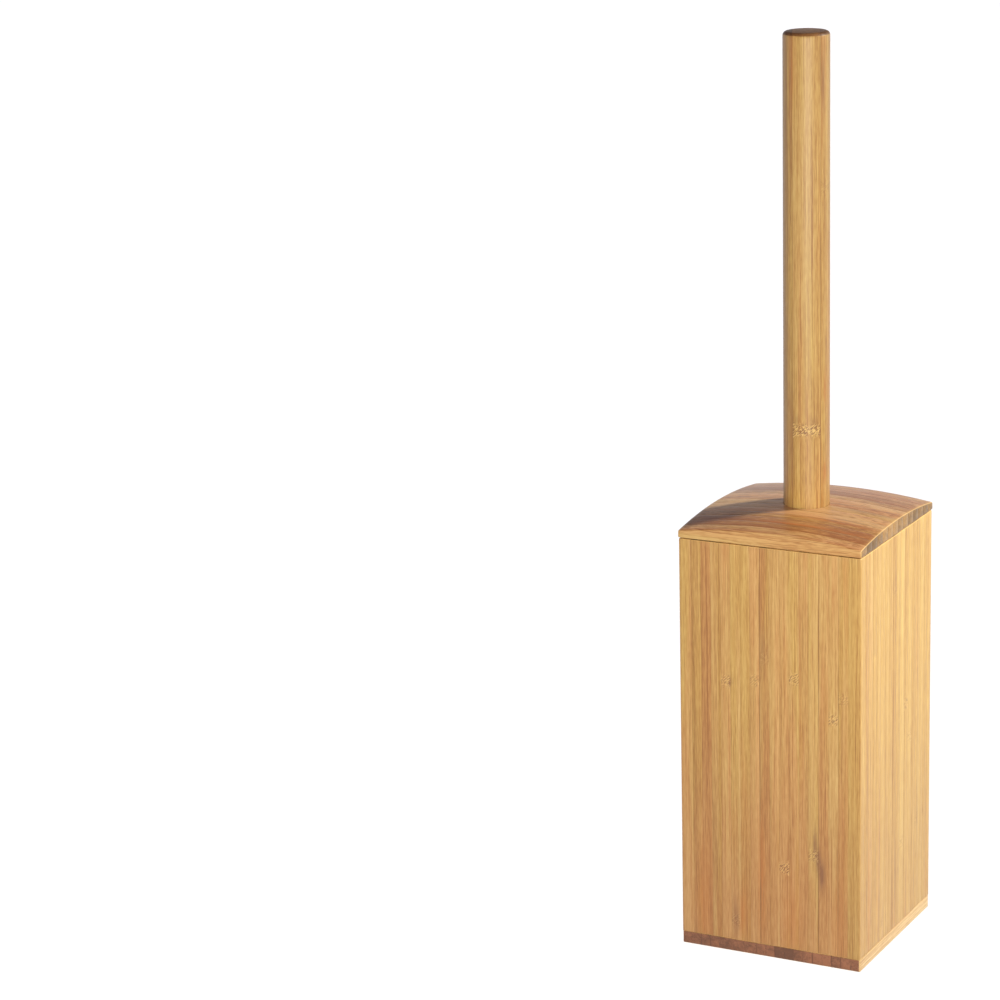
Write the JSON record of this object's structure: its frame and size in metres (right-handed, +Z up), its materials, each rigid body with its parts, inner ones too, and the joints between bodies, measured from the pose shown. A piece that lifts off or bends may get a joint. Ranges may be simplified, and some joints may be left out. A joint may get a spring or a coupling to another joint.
{
  "type": "toilet brush holder",
  "caption": "Square bamboo toilet brush holder: tall box with a removable liner cup and a domed lid that carries a straight dowel handle and the hanging brush.",
  "frame": {"origin": "centre of the square that the foot pads stand on", "axes": "+Z up along the handle, +X to the right along the front panel, front panel faces -Y"},
  "size_m": [0.0906, 0.0906, 0.4305],
  "materials": {
    "bamboo_panel": "satin lacquered bamboo, grain upright",
    "bamboo_base": "satin lacquered bamboo, end grain at the front and back edges",
    "bamboo_lid": "satin lacquered bamboo, darker heartwood tone, grain left to right",
    "bamboo_handle": "satin lacquered bamboo, grain upright",
    "foot_pad": "soft matt pad",
    "liner_plastic": "fine satin moulded",
    "brush_plastic": "semi-gloss moulded",
    "bristle_nylon": "fine nylon filament",
    "zinc_steel": "bright zinc plated",
    "brass": "turned"
  },
  "bodies": {
    "holder": {"base_plate": "bamboo_base", "front_panel": "bamboo_panel", "back_panel": "bamboo_panel", "left_panel": "bamboo_panel", "right_panel": "bamboo_panel", "foot_pad_front_left": "foot_pad", "foot_pad_front_right": "foot_pad", "foot_pad_back_left": "foot_pad", "foot_pad_back_right": "foot_pad"},
    "liner": {"liner_cup": "liner_plastic"},
    "brush": {"lid": "bamboo_lid", "lid_locator": "bamboo_lid", "handle": "bamboo_handle", "hanger_bolt": "zinc_steel", "bolt_washer": "zinc_steel", "stem_insert": "brass", "stem": "brush_plastic", "brush_core": "brush_plastic", "bristle_row_1": "bristle_nylon", "bristle_row_2": "bristle_nylon", "bristle_row_3": "bristle_nylon", "bristle_row_4": "bristle_nylon", "bristle_row_5": "bristle_nylon", "bristle_row_6": "bristle_nylon", "bristle_row_7": "bristle_nylon", "bristle_row_8": "bristle_nylon", "bristle_end": "bristle_nylon"}
  },
  "joints": [
    {"name": "liner_lift", "type": "slide", "parent": "holder", "child": "liner", "axis": [0, 0, 1], "range_m": [0, 0.2]},
    {"name": "brush_lift", "type": "slide", "parent": "liner", "child": "brush", "axis": [0, 0, 1], "range_m": [0, 0.2]}
  ]
}
